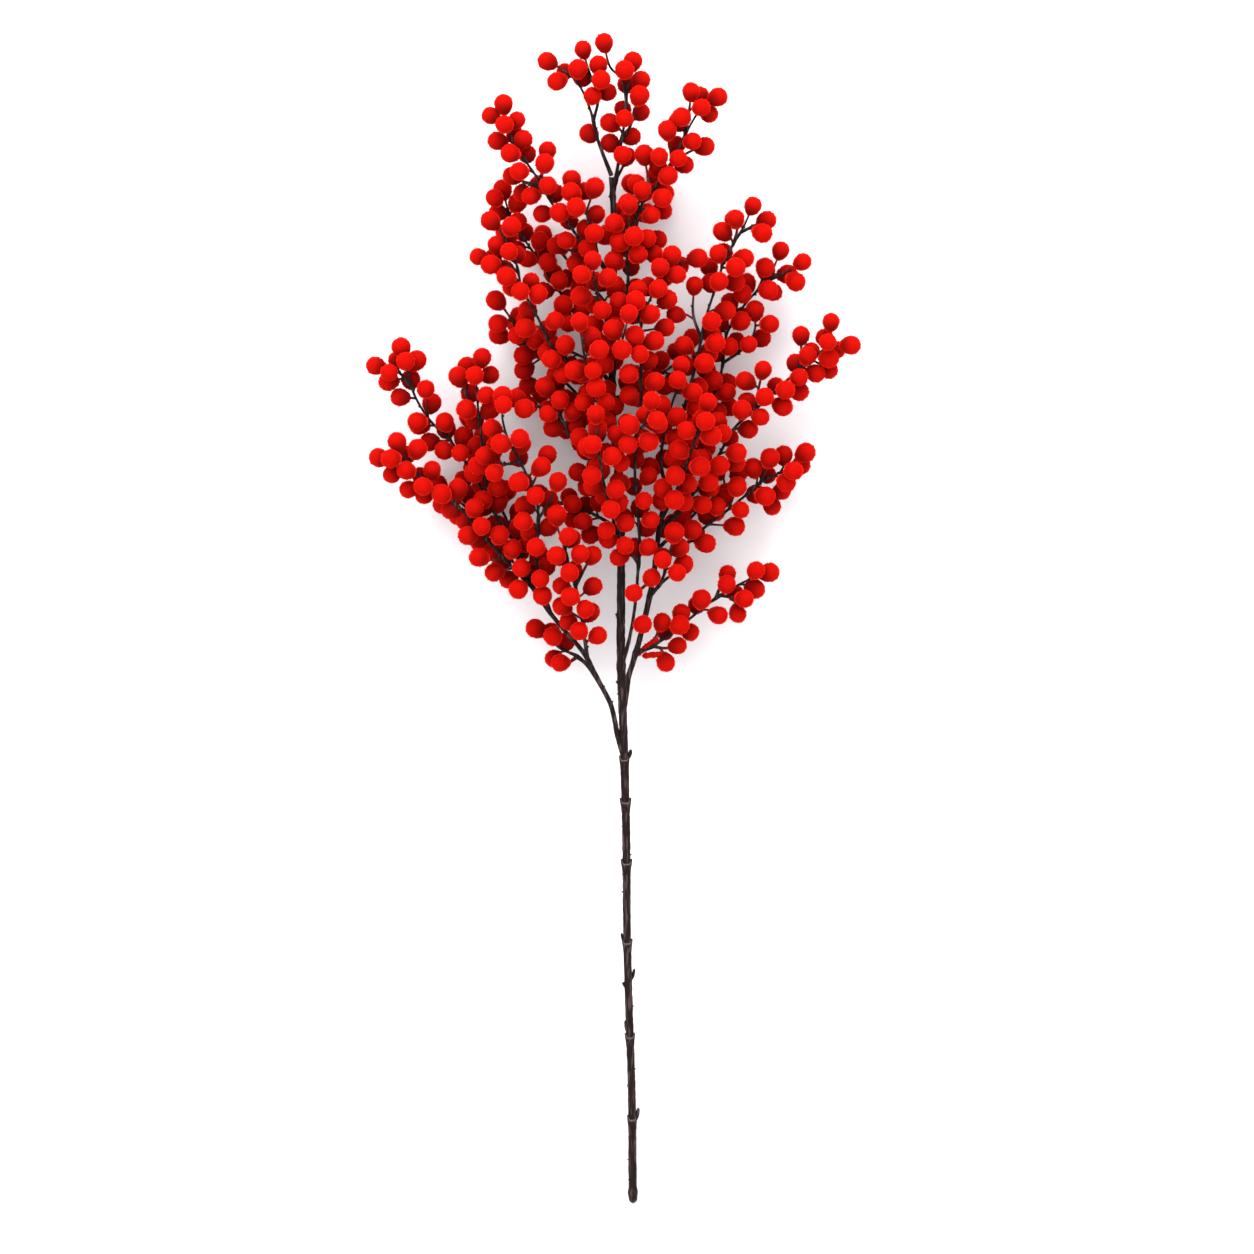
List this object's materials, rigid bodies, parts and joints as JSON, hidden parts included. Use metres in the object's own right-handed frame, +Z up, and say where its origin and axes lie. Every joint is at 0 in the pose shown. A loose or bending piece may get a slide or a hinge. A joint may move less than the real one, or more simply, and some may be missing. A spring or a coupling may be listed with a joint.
{
  "type": "mimosa branch",
  "caption": "Cut decorative branch laid on its back: a long bare brown stem with collars that forks into slender twigs set all round with red flocked pompons.",
  "frame": {"origin": "middle of the part's box, on the surface that the branch lies on", "axes": "+Y along the stem from the cut end to the top, +X to the right as seen from above with the top away from the viewer, +Z up from the surface"},
  "size_m": [0.3708, 0.8788, 0.1297],
  "materials": {
    "bark": "dark brown moulded bark with fine lengthwise grain, dull",
    "flock": "bright red short-fibre flock, soft and matt"
  },
  "bodies": {
    "root": {"main_stem": "bark", "left_branch": "bark", "right_branch": "bark", "spray_top_left": "flock", "spray_top_right": "flock", "spray_upper_left": "flock", "spray_upper_right": "flock", "spray_left_deep": "flock", "spray_left_front": "flock", "spray_left_middle": "flock", "spray_left_inner": "flock", "spray_left_cross": "flock", "spray_low_left_outer": "flock", "spray_low_left_upper": "flock", "spray_low_left_inner": "flock", "spray_low_left_centre": "flock", "spray_low_left_foot": "flock", "spray_front_right": "flock", "spray_low_right_foot": "flock", "spray_right_short": "flock", "spray_right_low": "flock", "spray_right_outer": "flock", "spray_right_tall": "flock", "spray_right_top": "flock", "spray_right_middle": "flock", "spray_front_top": "flock", "spray_front_middle": "flock", "spray_front_left": "flock", "spray_front_low": "flock", "spray_front_inner": "flock", "spray_front_outer": "flock", "spray_back_top": "flock", "spray_back_left": "flock", "spray_back_left_middle": "flock", "spray_back_right": "flock", "spray_back_left_low": "flock", "spray_back_right_low": "flock", "spray_back_right_tall": "flock", "spray_back_low_left": "flock", "spray_back_low_inner": "flock"}
  },
  "joints": []
}
